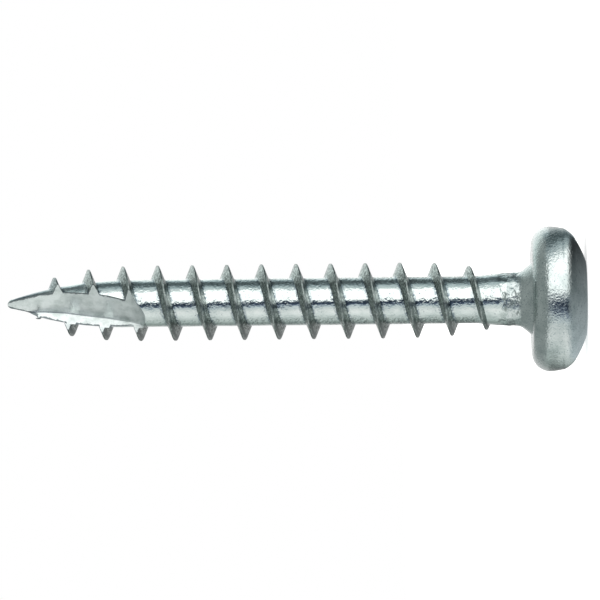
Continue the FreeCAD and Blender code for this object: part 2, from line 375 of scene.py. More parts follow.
@dataclass(frozen=True)
class ZincPlate:
    """Bright zinc plating, as every finish of the screw has it.

    Plated zinc clouds as it ages, which gives the eye soft patches of a duller grey.
    """

    name: str
    bright: str
    dull: str
    roughness: float
    clouds: Pattern
    # Clouded plating is rougher: the noise, and the shares of the roughness, at both ends.
    wear_edge: Span = (0.3, 0.75)
    wear: Span = (1.0, 1.0)

    def plate(self, tree: NodeTree, clouds: Node) -> Node:
        """Colour the plating.

        Args:
            tree: the material's tree.
            clouds: the node that gives the clouds' noise.

        Returns:
            The node that gives the colour.
        """
        return add_node(tree, "ShaderNodeMix", (
            self.clouds.patches(tree, clouds), linear(self.bright), linear(self.dull),
        ), data_type="RGBA")

    def worn(self, tree: NodeTree, clouds: Node) -> Node:
        """Roughen the plating.

        Args:
            tree: the material's tree.
            clouds: the node that gives the clouds' noise.

        Returns:
            The node that gives the roughness.
        """
        return add_node(tree, "ShaderNodeMapRange", (
            clouds, *self.wear_edge, *(self.roughness * share for share in self.wear),
        ))


@dataclass(frozen=True)
class UpsetZinc(ZincPlate):
    """Bright zinc plating over the cold-upset steel of the head.

    Upsetting and barrelling leave a fine orange peel, which breaks the edges of a reflection
    into specks and gives the eye a soft satin head.
    """

    name: str = "upset_zinc_plate"
    bright: str = "#CCD3D1"
    dull: str = "#AFB9B7"
    roughness: float = 0.09
    clouds: Pattern = Pattern(1.6, 4.0, 0.6, edge=(0.4, 0.65))
    wear: Span = (0.85, 1.2)
    # Orange peel of upset and barrelled steel is 0.1 to 0.3 mm across.
    peel: Pattern = Pattern(0.15, 2.5, 0.6, depth=0.0085)
    # Specks of spent plating salt are 0.05 mm: they are drawn twice as coarse.
    specks: Pattern = Pattern(0.1, 2.0, 0.6, edge=(0.58, 0.72))
    speck: str = "#6F7C84"
    speck_share: float = 0.8

    def make(self) -> Material:
        """Build the material.

        Returns:
            The material, on Object coordinates.
        """
        material, tree, place = new_material(self.name)
        clouds = self.clouds.noise(tree, place)
        speckled = self.specks.patches(tree, self.specks.noise(tree, place), self.speck_share)
        colour = add_node(tree, "ShaderNodeMix", (
            speckled, self.plate(tree, clouds), linear(self.speck),
        ), data_type="RGBA")
        normal = TornBand().tilted(tree, place, self.peel.relief(tree, place))
        show_metal(tree, colour, self.worn(tree, clouds), normal)
        return material


@dataclass(frozen=True)
class RolledZinc(ZincPlate):
    """Bright zinc plating over the cold-rolled steel of the thread.

    The dies polish the core, which gives the eye long clear reflections with ragged edges. They
    shear the flanks, which are duller, mottled and darker, and leave a thin line on the crest.
    Where a flank meets the core, the corner is darkened with painted shade.
    """

    name: str = "rolled_zinc_plate"
    bright: str = "#D6DDDA"
    dull: str = "#BFC9C7"
    roughness: float = 0.06
    clouds: Pattern = Pattern(1.3, 3.0, 0.6, edge=(0.35, 0.68))
    wear: Span = (0.75, 1.5)
    # Shearing mottles the flanks in patches of 0.1 to 0.2 mm.
    mottle: Pattern = Pattern(0.15, 3.0, 0.65, edge=(0.42, 0.54))
    # Marks of the dies along the core are an eighth to a quarter of a millimetre across, and
    # gather in patches: the noise of the clouds, and the marks' strength, at both ends.
    marks: Pattern = Pattern(0.2, 1.2, 0.5, 0.6, depth=0.008)
    gather_edge: Span = (0.4, 0.6)
    gather: Span = (0.4, 1.0)
    # Plating grain is 0.02 mm and too fine to show: it is drawn four times as coarse.
    grain: Pattern = Pattern(0.09, 1.0, depth=0.0006)
    # Specks of spent plating salt and handling marks, 0.1 to 0.2 mm across.
    specks: Pattern = Pattern(0.13, edge=(0.67, 0.74))
    # The specks' colour, which also paints the shade at a ridge's foot and the darkening at the
    # tip.
    speck: str = "#66747E"
    speck_roughness: float = 0.25
    flank: str = "#D0D8D4"
    flank_shade: str = "#727B78"
    # The flanks that face the head are a touch lighter, as painted light.
    head_flank_painted_lighter: str = "#D2DAD7"
    flank_roughness: float = 0.3
    # Distances along the axis from the crest, and heights above the core, between which one
    # surface passes into the next.
    flank_change: Span = (-0.02, 0.02)
    foot_edge: Span = (0.46, 0.52)
    rise_edge: Span = (0.02, 0.09)
    crest: str = "#929B98"
    crest_edge: Span = (0.03, 0.06)
    score: str = "#5A666B"
    score_place: float = -0.13
    score_edge: Span = (0.02, 0.07)
    score_share: float = 0.85
    # Painted shade in the corner where a flank meets the core, drawn in the specks' colour.
    foot_shade_edge: Span = (0.38, 0.56)
    foot_shade_rise: Span = (0.015, 0.1)
    # How far from the plain shank the ridge is tall enough to get painted shade at its foot.
    foot_shade_start: Span = (1.5, 3.5)
    # How far from the round of the tip the colour begins to darken and is darkest.
    tip_darkening: Span = (4.0, 1.0)
    tip_share: float = 0.75

    def side(self, tree: NodeTree, beside: Node, near: Node, mottled: Node) -> Node:
        """Colour the ridge: its two flanks, its crest and the score beside it, all mottled.

        Args:
            tree: the material's tree.
            beside: the node that gives the distance from the crest, negative towards the head.
            near: the node that gives that distance without its sign.
            mottled: the node that gives the share of the mottling.

        Returns:
            The node that gives the colour.
        """
        headwards = add_node(tree, "ShaderNodeMapRange", (
            beside, *metres(*self.flank_change), 1.0, 0.0,
        ))
        colour = add_node(tree, "ShaderNodeMix", (
            headwards, linear(self.flank), linear(self.head_flank_painted_lighter),
        ), data_type="RGBA")
        on_crest = add_node(tree, "ShaderNodeMapRange", (near, *metres(*self.crest_edge), 1.0, 0.0))
        past_score = add_node(tree, "ShaderNodeMath", (beside, self.score_place * MM),
                              operation="SUBTRACT")
        from_score = add_node(tree, "ShaderNodeMath", (past_score,), operation="ABSOLUTE")
        on_score = add_node(tree, "ShaderNodeMapRange", (
            from_score, *metres(*self.score_edge), self.score_share, 0.0,
        ))
        for share, shade in ((on_crest, self.crest), (on_score, self.score),
                             (mottled, self.flank_shade)):
            colour = add_node(tree, "ShaderNodeMix", (share, colour, linear(shade)),
                              data_type="RGBA")
        return colour

    def painted_shade_and_specks(self, tree: NodeTree, thread: "ThreadedShank", height: Any,
               foot: Sequence[Node], speckled: Node) -> Node:
        """Tell where painted shade at the ridge's foot, the specks and the darkening at the tip
        darken the plating.

        Args:
            tree: the material's tree.
            thread: the thread.
            height: the socket that gives the height along the screw.
            foot: the nodes whose product is the share of painted shade at the ridge's foot.
            speckled: the node that gives the share of the specks.

        Returns:
            The node that gives the share.
        """
        start = (thread.shank_end + self.foot_shade_start[0], thread.shank_end + self.foot_shade_start[1])
        shade_and_specks = add_node(tree, "ShaderNodeMapRange", (height, *metres(*start)))
        for share in foot:
            shade_and_specks = add_node(tree, "ShaderNodeMath", (shade_and_specks, share), operation="MULTIPLY")
        darkening_span = (thread.tip_end - self.tip_darkening[0], thread.tip_end - self.tip_darkening[1])
        at_tip = add_node(tree, "ShaderNodeMapRange", (
            height, *metres(*darkening_span), 0.0, self.tip_share,
        ))
        for share in (speckled, at_tip):
            shade_and_specks = add_node(tree, "ShaderNodeMath", (shade_and_specks, share), operation="MAXIMUM")
        return shade_and_specks

    def make(self, thread: "ThreadedShank") -> Material:
        """Build the material.

        Args:
            thread: the thread, whose rule tells the flanks from the core.

        Returns:
            The material, on Object coordinates.
        """
        material, tree, place = new_material(self.name)
        above, beside = thread.above(tree, place), thread.beside(tree, place)
        near = add_node(tree, "ShaderNodeMath", (beside,), operation="ABSOLUTE")
        clouds = self.clouds.noise(tree, place)
        mottled = self.mottle.patches(tree, self.mottle.noise(tree, place))
        speckled = self.specks.patches(tree, self.specks.noise(tree, place))
        on_ridge = add_node(tree, "ShaderNodeMapRange", (near, *metres(*self.foot_edge), 1.0, 0.0))
        raised = add_node(tree, "ShaderNodeMapRange", (above, *metres(*self.rise_edge)))
        flank = add_node(tree, "ShaderNodeMath", (on_ridge, raised), operation="MULTIPLY")
        surface = add_node(tree, "ShaderNodeMix", (
            flank, self.plate(tree, clouds), self.side(tree, beside, near, mottled),
        ), data_type="RGBA")
        # Painted shade where a flank meets the core, joined with the specks and the darkening at
        # the tip.
        low = add_node(tree, "ShaderNodeMapRange", (above, *metres(*self.foot_shade_rise), 1.0, 0.0))
        close = add_node(tree, "ShaderNodeMapRange", (near, *metres(*self.foot_shade_edge), 1.0, 0.0))
        height = add_node(tree, "ShaderNodeSeparateXYZ", (place,)).outputs["Z"]
        painted_shade_and_specks = self.painted_shade_and_specks(tree, thread, height, (low, close, mottled), speckled)
        colour = add_node(tree, "ShaderNodeMix", (painted_shade_and_specks, surface, linear(self.speck)),
                          data_type="RGBA")
        rougher = add_node(tree, "ShaderNodeMath", (
            speckled, self.speck_roughness, self.worn(tree, clouds),
        ), operation="MULTIPLY_ADD")
        roughness = add_node(tree, "ShaderNodeMix", (flank, rougher, self.flank_roughness))
        gathered = add_node(tree, "ShaderNodeMapRange", (clouds, *self.gather_edge, *self.gather))
        grain = self.grain.relief(tree, place, Normal=self.marks.relief(tree, place, gathered))
        show_metal(tree, colour, roughness, TornBand().tilted(tree, place, grain))
        return material


@dataclass(frozen=True)
class MilledZinc(ZincPlate):
    """Zinc plating over a milled wall.

    The cutter leaves fine scores along the wall, so that it looks matte and evenly grey beside
    the rolled steel, and a thin dark burr outlines it.
    """

    name: str = "milled_zinc_plate"
    bright: str = "#F4F8F7"
    dull: str = "#CDD5D2"
    roughness: float = 0.3
    clouds: Pattern = Pattern(0.7, 4.0, 0.65, edge=(0.42, 0.72))
    burr: str = "#5E676B"
    burr_width: float = 0.15
    burr_edge: Span = (0.6, 1.0)
    burr_share: float = 0.9
    burr_notches: Pattern = Pattern(0.25)
    # Where the cut runs out it is shallow and leaves no burr.
    shallow_end: Span = (29.5, 30.7)
    # The scores of a small cutter are 0.05 mm apart: they are drawn twice as coarse.
    scores: Pattern = Pattern(0.1, depth=0.0012)
    score_stretch: float = 0.2

    def make(self, thread: "ThreadedShank") -> Material:
        """Build the material.

        Args:
            thread: the thread, whose rule tells where the edge of the cut is.

        Returns:
            The material, on Object coordinates.
        """
        material, tree, place = new_material(self.name)
        reach = add_node(tree, "ShaderNodeMath", (
            self.burr_notches.noise(tree, place), 2 * self.burr_width * MM,
        ), operation="MULTIPLY")
        inside = add_node(tree, "ShaderNodeMath", (thread.below(tree, place), reach),
                          operation="DIVIDE")
        at_edge = add_node(tree, "ShaderNodeMapRange", (
            inside, *self.burr_edge, self.burr_share, 0.0,
        ))
        height = add_node(tree, "ShaderNodeSeparateXYZ", (place,)).outputs["Z"]
        deep = add_node(tree, "ShaderNodeMapRange", (height, *metres(*self.shallow_end)))
        burred = add_node(tree, "ShaderNodeMath", (at_edge, deep), operation="MULTIPLY")
        plate = self.plate(tree, self.clouds.noise(tree, place))
        colour = add_node(tree, "ShaderNodeMix", (burred, plate, linear(self.burr)),
                          data_type="RGBA")
        stretched = add_node(tree, "ShaderNodeMapping", {
            "Vector": place, "Scale": (1, 1, self.score_stretch),
        })
        show_metal(tree, colour, self.roughness, self.scores.relief(tree, stretched))
        return material


# The screw


@dataclass
class Blank:
    """Head, neck, plain shank and the round of the tip, as upset before the thread is rolled."""

    segments: int = 120
    head_height: float = 3.65
    head_radius: float = 4.85
    rim_radius: float = 1.2
    corner_radius: float = 4.53
    corner_height: float = 2.6
    corner_round: float = 2.0
    dome_radius: float = 7.0
    flat_radius: float = 2.5
    neck_radius: float = 2.42
    neck_length: float = 0.75
    neck_round: float = 0.8
    shank_radius: float = 1.8
    shank_end: float = 5.35
    tip_round_start: float = 38.27
    tip_radius: float = 0.38
    # Rings that keep the faces of the two flats short.
    flat_rings: tuple[float, ...] = (0.0, 1.0, 1.8)
    bearing_rings: tuple[float, ...] = (3.3, 2.9, 2.6)
    dome_steps: int = 24
    side_steps: int = 14
    rim_steps: int = 20
    shank_steps: int = 12
    round_steps: int = 8
    tip_steps: int = 6
    # Points nearer to a rounded corner than its reach times this are left out.
    round_clearance: float = 1.1

    def head_outline(self) -> Outline:
        """Work out the outline from the flat end of the head to the end of the plain shank.

        Returns:
            Radius and height of each point.
        """
        top = self.head_height
        corner = (self.corner_radius, top - self.corner_height)
        widest = (self.head_radius, top - self.rim_radius)
        flat_edge = (self.flat_radius, 0.0)
        rise, inset = widest[1] - corner[1], widest[0] - corner[0]
        side_centre = (self.head_radius - (rise**2 + inset**2) / (2 * inset), widest[1])
        dome_centre = arc_centre(flat_edge, corner, self.dome_radius)
        dome = arc_points(dome_centre, flat_edge, corner, self.dome_steps)
        side = arc_points(side_centre, corner, widest, self.side_steps)
        rim_centre = (self.head_radius - self.rim_radius, widest[1])
        rim = arc_points(rim_centre, widest, (rim_centre[0], top), self.rim_steps)
        neck_end = top + self.neck_length
        neck = [(self.neck_radius, top), (self.shank_radius, neck_end)]
        step = (self.shank_end - neck_end) / self.shank_steps
        shank = [(self.shank_radius, neck_end + step * k) for k in range(self.shank_steps + 1)]
        return ([(radius, 0.0) for radius in self.flat_rings]
                + self.rounded(dome, side, self.corner_round) + rim[1:]
                + [(radius, top) for radius in self.bearing_rings]
                + self.rounded(neck, shank, self.neck_round))

    def rounded(self, before: Outline, after: Outline, radius: float) -> Outline:
        """Round the corner where two stretches of the outline meet.

        Args:
            before: the stretch that ends at the corner.
            after: the stretch that starts there.
            radius: how round the corner becomes.

        Returns:
            Both stretches with the corner's round between them.
        """
        corner = Vector(before[-1])
        arriving = (corner - Vector(before[-2])).normalized()
        leaving = (Vector(after[1]) - corner).normalized()
        reach = radius * math.tan(arriving.angle(leaving) / 2)
        start, end = corner - arriving * reach, corner + leaving * reach
        clear = reach * self.round_clearance
        turn = []
        for share in (k / self.round_steps for k in range(self.round_steps + 1)):
            point = start.lerp(corner, share).lerp(corner.lerp(end, share), share)
            turn.append((point.x, point.y))
        kept = [[p for p in stretch if (corner - Vector(p)).length > clear]
                for stretch in (before, after)]
        return kept[0] + turn + kept[1]

    def tip_outline(self) -> Outline:
        """Work out the round of the tip.

        Returns:
            Radius and height of each point, from the round's edge to the pole.
        """
        centre = (0.0, self.tip_round_start)
        pole = (0.0, self.tip_round_start + self.tip_radius)
        edge = (self.tip_radius, self.tip_round_start)
        return arc_points(centre, edge, pole, self.tip_steps)[:-1] + [pole]

    def build(self) -> Object:
        """Make the two turned ends of the screw as one object.

        Returns:
            The object, open where the thread goes.
        """
        mesh = spin(self.head_outline(), self.segments)
        tip = spin(self.tip_outline(), self.segments)
        carrier = bpy.data.meshes.new("tip_round")
        tip.to_mesh(carrier)
        tip.free()
        mesh.from_mesh(carrier)
        bpy.data.meshes.remove(carrier)
        return new_piece("pan_head_screw", mesh)


@dataclass
class ThreadedShank:
    """The core with its one thread ridge, from the plain shank to the round of the tip.

    A net of columns round the axis and rows across one pitch is wound along the crest's helix.
    Its rows lie on the crest, the flanks and the root, and its neighbouring turns share their
    outer rows, so that it closes. The same rule serves the finishes: where a method takes the
    named sizes, they are the geometry tree's sockets or this class's own numbers.
    """

    columns_per_turn: int = 120
    flank_rows: int = 5
    root_rows: int = 6
    core_radius: float = 1.59
    shank_radius: float = 1.8
    shank_end: float = 5.35
    step_length: float = 2.0
    taper_start: float = 30.65
    tip_end: float = 38.27
    tip_radius: float = 0.38
    pitch: float = 2.31
    ridge_start: float = 37.55
    ridge_turn: float = -46.0
    rise_length: float = 2.6
    rise_height: float = 0.8
    growth_length: float = 9.5
    full_height: float = 0.94
    embed: float = 0.12
    fade_start: float = 12.9
    fade_length: float = 7.5
    fade_power: float = 3.0
    crest_half_width: float = 0.04
    flank_angle: float = 20.0
    foot_round: float = 0.1
    # Rolling leaves the surface a few microns out of true, in long waves and shorter marks.
    wave_length: float = 1.5
    wave_height: float = 0.012
    mark_length: float = 0.65
    mark_height: float = 0.028
    # Where the dies end, under the head, the surface is torn into small facets.
    torn_from: float = 4.5
    torn_to: float = 6.0
    torn_edge: float = 0.4
    torn_length: float = 0.4
    torn_depth: float = 0.12
    # The noise hardly passes this level, so that no wave stands out of the outline.
    wave_ceiling: float = 0.75
    weld: float = 0.002

    def sizes(self) -> dict[str, float]:
        """List the tree's inputs.

        Returns:
            The value of each named input, lengths in metres.
        """
        names = (
            "core_radius", "shank_radius", "shank_end", "taper_start", "tip_end", "pitch",
            "ridge_start", "rise_length", "rise_height", "growth_length", "full_height",
            "embed", "fade_start", "fade_length", "crest_half_width", "foot_round",
            "wave_length", "wave_height", "mark_length", "mark_height", "torn_length",
            "torn_depth",
        )
        lengths = {name.replace("_", " ").title(): getattr(self, name) for name in names}
        run, rise = self.tip_end - self.taper_start, self.core_radius - self.tip_radius
        lengths["Taper Curve"] = (run**2 + rise**2) / (2 * rise)
        lengths["Step End"] = self.shank_end + self.step_length
        lengths["Sink Depth"] = (self.core_radius + self.full_height - self.shank_radius
                                 + self.embed)
        return {name: value * MM for name, value in lengths.items()} | {
            "Flank Slope": math.tan(math.radians(self.flank_angle)),
            "Ridge Turns": self.ridge_turn / 360,
            "Fade Power": self.fade_power,
        }

    def turns(self) -> tuple[int, int]:
        """Give the first and last whole turn of the net about the axis."""
        low = (self.shank_end - self.pitch - self.ridge_start) / self.pitch
        high = (self.tip_end + self.pitch - self.ridge_start) / self.pitch
        offset = self.ridge_turn / 360
        return math.floor(low + offset), math.ceil(high + offset)

    def core_at(self, tree: NodeTree, size: Mapping[str, Any], height: Any) -> Node:
        """Work out the core's radius at a height, round the point too.

        Args:
            tree: a geometry tree or a material's tree.
            size: the named sizes.
            height: the node or socket that gives the height.

        Returns:
            The node that gives the radius.
        """
        curve = size["Taper Curve"]
        past = add_node(tree, "ShaderNodeMath", (height, size["Taper Start"]), operation="SUBTRACT")
        beyond = add_node(tree, "ShaderNodeMath", (past, 0.0), operation="MAXIMUM")
        squared = [add_node(tree, "ShaderNodeMath", (side, side), operation="MULTIPLY")
                   for side in (curve, beyond)]
        left = add_node(tree, "ShaderNodeMath", squared, operation="SUBTRACT")
        root = add_node(tree, "ShaderNodeMath", (left,), operation="SQRT")
        sagitta = add_node(tree, "ShaderNodeMath", (root, curve), operation="SUBTRACT")
        return add_node(tree, "ShaderNodeMath", (sagitta, size["Core Radius"]), operation="ADD")

    def base_at(self, tree: NodeTree, size: Mapping[str, Any], height: Any) -> Node:
        """Work out the radius under the ridge, with the step up to the shank.

        Args:
            tree: a geometry tree or a material's tree.
            size: the named sizes.
            height: the node or socket that gives the height.

        Returns:
            The node that gives the radius.
        """
        stepped = add_node(tree, "ShaderNodeMapRange", (
            height, size["Shank End"], size["Step End"], size["Shank Radius"],
            size["Core Radius"],
        ))
        step_up = add_node(tree, "ShaderNodeMath", (stepped, size["Core Radius"]),
                           operation="SUBTRACT")
        return add_node(tree, "ShaderNodeMath", (self.core_at(tree, size, height), step_up),
                        operation="ADD")

    def crest_at(self, tree: NodeTree, size: Mapping[str, Any], height: Node) -> Node:
        """Work out the crest's radius: it rises out of the point and sinks into the shank.

        Args:
            tree: a geometry tree or a material's tree.
            size: the named sizes.
            height: the node that gives the crest's height.

        Returns:
            The node that gives the crest's radius.
        """
        climbed = add_node(tree, "ShaderNodeMath", (size["Ridge Start"], height),
                           operation="SUBTRACT")
        grown = add_node(tree, "ShaderNodeMapRange", (
            climbed, 0.0, size["Growth Length"], size["Rise Height"], size["Full Height"],
        ), interpolation_type="SMOOTHSTEP")
        tall = add_node(tree, "ShaderNodeMath", (grown, size["Embed"]), operation="ADD")
        risen = add_node(tree, "ShaderNodeMapRange", (climbed, 0.0, size["Rise Length"]),
                         interpolation_type="SMOOTHSTEP")
        over = add_node(tree, "ShaderNodeMath", (tall, risen), operation="MULTIPLY")
        embedded = add_node(tree, "ShaderNodeMath", (
            self.core_at(tree, size, height), size["Embed"],
        ), operation="SUBTRACT")
        apex = add_node(tree, "ShaderNodeMath", (embedded, over), operation="ADD")
        faded = add_node(tree, "ShaderNodeMath", (size["Fade Start"], height), operation="SUBTRACT")
        share = add_node(tree, "ShaderNodeMath", (faded, size["Fade Length"]), operation="DIVIDE")
        fading = add_node(tree, "ShaderNodeMath", (share, 0.0), operation="MAXIMUM")
        curved = add_node(tree, "ShaderNodeMath", (fading, size["Fade Power"]), operation="POWER")
        sunk = add_node(tree, "ShaderNodeMath", (curved, size["Sink Depth"]), operation="MULTIPLY")
        return add_node(tree, "ShaderNodeMath", (apex, sunk), operation="SUBTRACT")

    def surface_at(self, tree: NodeTree, size: Mapping[str, Any], height: Any,
                   crest_height: Node) -> Node:
        """Work out the radius of core and ridge together.

        Args:
            tree: a geometry tree or a material's tree.
            size: the named sizes.
            height: the node or socket that gives the height.
            crest_height: the node that gives the height of the nearest crest.

        Returns:
            The node that gives the radius.
        """
        from_crest = add_node(tree, "ShaderNodeMath", (height, crest_height), operation="SUBTRACT")
        distance = add_node(tree, "ShaderNodeMath", (from_crest,), operation="ABSOLUTE")
        past_crest = add_node(tree, "ShaderNodeMath", (distance, size["Crest Half Width"]),
                              operation="SUBTRACT")
        off_crest = add_node(tree, "ShaderNodeMath", (past_crest, 0.0), operation="MAXIMUM")
        drop = add_node(tree, "ShaderNodeMath", (off_crest, size["Flank Slope"]),
                        operation="DIVIDE")
        flank = add_node(tree, "ShaderNodeMath", (
            self.crest_at(tree, size, crest_height), drop,
        ), operation="SUBTRACT")
        return add_node(tree, "ShaderNodeMath", (
            self.base_at(tree, size, height), flank, size["Foot Round"],
        ), operation="SMOOTH_MAX")

    def radius(self, tree: NodeTree, place: NodeSocket) -> tuple[Node, NodeSocket]:
        """Measure how far a point is from the axis.

        Args:
            tree: a material's tree.
            place: the socket that gives the point.

        Returns:
            The node that gives the radius and the socket that gives the height.
        """
        x, y, height = add_node(tree, "ShaderNodeSeparateXYZ", (place,)).outputs
        flat = add_node(tree, "ShaderNodeCombineXYZ", (x, y))
        return add_node(tree, "ShaderNodeVectorMath", (flat,), operation="LENGTH"), height

    def above(self, tree: NodeTree, place: NodeSocket) -> Node:
        """Measure how high a point of the surface stands above the core.

        Args:
            tree: a material's tree.
            place: the socket that gives the point.

        Returns:
            The node that gives the height above the core.
        """
        radius, height = self.radius(tree, place)
        base = self.base_at(tree, self.sizes(), height)
        return add_node(tree, "ShaderNodeMath", (radius, base), operation="SUBTRACT")

    def beside(self, tree: NodeTree, place: NodeSocket) -> Node:
        """Measure how far along the axis a point is from the nearest crest.

        Args:
            tree: a material's tree.
            place: the socket that gives the point.

        Returns:
            The node that gives the distance, negative towards the head.
        """
        size = self.sizes()
        x, y, height = add_node(tree, "ShaderNodeSeparateXYZ", (place,)).outputs
        angle = add_node(tree, "ShaderNodeMath", (y, x), operation="ARCTAN2")
        turned = add_node(tree, "ShaderNodeMath", (angle, -1 / (2 * math.pi)), operation="MULTIPLY")
        climbed = add_node(tree, "ShaderNodeMath", (height, 1 / size["Pitch"], turned),
                           operation="MULTIPLY_ADD")
        offset = size["Ridge Turns"] - size["Ridge Start"] / size["Pitch"]
        phase = add_node(tree, "ShaderNodeMath", (climbed, offset), operation="ADD")
        share = add_node(tree, "ShaderNodeMath", (phase, 0.5, -0.5), operation="WRAP")
        return add_node(tree, "ShaderNodeMath", (share, size["Pitch"]), operation="MULTIPLY")

    def below(self, tree: NodeTree, place: NodeSocket) -> Node:
        """Measure how deep a point of the cut lies under what the dies rolled.

        Args:
            tree: a material's tree.
            place: the socket that gives the point.

        Returns:
            The node that gives the depth.
        """
        radius, height = self.radius(tree, place)
        crest_height = add_node(tree, "ShaderNodeMath", (height, self.beside(tree, place)),
                                operation="SUBTRACT")
        rolled = self.surface_at(tree, self.sizes(), height, crest_height)
        return add_node(tree, "ShaderNodeMath", (rolled, radius), operation="SUBTRACT")

    def row_height(self, tree: NodeTree, size: Mapping[str, Any],
                   row: Node, crest_height: Node) -> Node:
        """Work out how high a row of the net lies: on the crest, a flank or the root.

        Args:
            tree: the geometry tree.
            size: the tree's input sockets.
            row: the node that gives the row's number across the pitch.
            crest_height: the node that gives the height of the row's crest.

        Returns:
            The node that gives the height.
        """
        half_rows = 1 + self.flank_rows + self.root_rows
        step = add_node(tree, "ShaderNodeMath", (row, float(half_rows)), operation="SUBTRACT")
        steps_out = add_node(tree, "ShaderNodeMath", (step,), operation="ABSOLUTE")
        side = add_node(tree, "ShaderNodeMath", (step,), operation="SIGN")
        tall = add_node(tree, "ShaderNodeMath", (
            self.crest_at(tree, size, crest_height), self.core_at(tree, size, crest_height),
        ), operation="SUBTRACT")
        wide = add_node(tree, "ShaderNodeMath", (tall, size["Flank Slope"]), operation="MULTIPLY")
        foot = add_node(tree, "ShaderNodeMath", (wide, size["Crest Half Width"]),
                        operation="MAXIMUM")
        half_pitch = add_node(tree, "ShaderNodeMath", (size["Pitch"], 0.5), operation="MULTIPLY")
        clear = add_node(tree, "ShaderNodeMath", (half_pitch, size["Crest Half Width"]),
                         operation="SUBTRACT")
        root = add_node(tree, "ShaderNodeMath", (clear, foot), operation="SUBTRACT")
        away = None
        for first, rows, width in ((0, 1, size["Crest Half Width"]), (1, self.flank_rows, foot),
                                   (1 + self.flank_rows, self.root_rows, root)):
            part = add_node(tree, "ShaderNodeMapRange", (
                steps_out, float(first), float(first + rows), 0.0, width,
            ))
            away = part if away is None else add_node(tree, "ShaderNodeMath", (away, part),
                                                      operation="ADD")
        unbound = add_node(tree, "ShaderNodeMath", (away, side, crest_height),
                           operation="MULTIPLY_ADD")
        return add_node(tree, "ShaderNodeClamp", (unbound, size["Shank End"], size["Tip End"]))

    def net(self, tree: NodeTree, size: Mapping[str, Any]) -> Node:
        """Lay the net of points round the core and over the ridge.

        Args:
            tree: the geometry tree.
            size: the tree's input sockets.

        Returns:
            The node that gives the placed net.
        """
        rows = 2 * (1 + self.flank_rows + self.root_rows) + 1
        first, last = self.turns()
        grid = add_node(tree, "GeometryNodeMeshGrid", {
            "Vertices X": (last - first) * self.columns_per_turn + 1, "Vertices Y": rows,
        })
        index = add_node(tree, "GeometryNodeInputIndex")
        row = add_node(tree, "ShaderNodeMath", (index, float(rows)), operation="MODULO")
        along = add_node(tree, "ShaderNodeMath", (index, float(rows)), operation="DIVIDE")
        column = add_node(tree, "ShaderNodeMath", (along,), operation="FLOOR")
        turn = add_node(tree, "ShaderNodeMath", (
            column, 1 / self.columns_per_turn, float(first),
        ), operation="MULTIPLY_ADD")
        from_start = add_node(tree, "ShaderNodeMath", (turn, size["Ridge Turns"]),
                              operation="SUBTRACT")
        crest_height = add_node(tree, "ShaderNodeMath", (
            from_start, size["Pitch"], size["Ridge Start"],
        ), operation="MULTIPLY_ADD")
        height = self.row_height(tree, size, row, crest_height)
        radius = self.surface_at(tree, size, height, crest_height)
        angle = add_node(tree, "ShaderNodeMath", (turn, 2 * math.pi), operation="MULTIPLY")
        flat = []
        for direction in ("COSINE", "SINE"):
            share = add_node(tree, "ShaderNodeMath", (angle,), operation=direction)
            flat.append(add_node(tree, "ShaderNodeMath", (share, radius), operation="MULTIPLY"))
        place = add_node(tree, "ShaderNodeCombineXYZ", (*flat, height))
        return add_node(tree, "GeometryNodeSetPosition", {"Geometry": grid, "Position": place})

    def tree(self, material: Material) -> NodeTree:
        """Build the geometry tree that adds the threaded part between the blank's ends.

        Args:
            material: the finish of the threaded part.

        Returns:
            The tree, with one named input for each size.
        """
        tree = bpy.data.node_groups.new("threaded_shank", "GeometryNodeTree")
        tree.interface.new_socket("Blank", in_out="INPUT", socket_type="NodeSocketGeometry")
        tree.interface.new_socket("Screw", in_out="OUTPUT", socket_type="NodeSocketGeometry")
        for name in self.sizes():
            tree.interface.new_socket(name, in_out="INPUT", socket_type="NodeSocketFloat")
        sizes = add_node(tree, "NodeGroupInput").outputs
        net = add_node(tree, "GeometryNodeSetMaterial", {
            "Geometry": self.net(tree, sizes), "Material": material,
        })
        both = add_node(tree, "GeometryNodeJoinGeometry", (sizes["Blank"],))
        tree.links.new(net.outputs[0], both.inputs[0])
        merged = add_node(tree, "GeometryNodeMergeByDistance", {
            "Geometry": both, "Distance": self.weld * MM,
        })
        uneven = self.uneven(tree, sizes, merged)
        real = add_node(tree, "GeometryNodeRealizeInstances", (uneven,))
        add_node(tree, "NodeGroupOutput", (real,))
        return tree

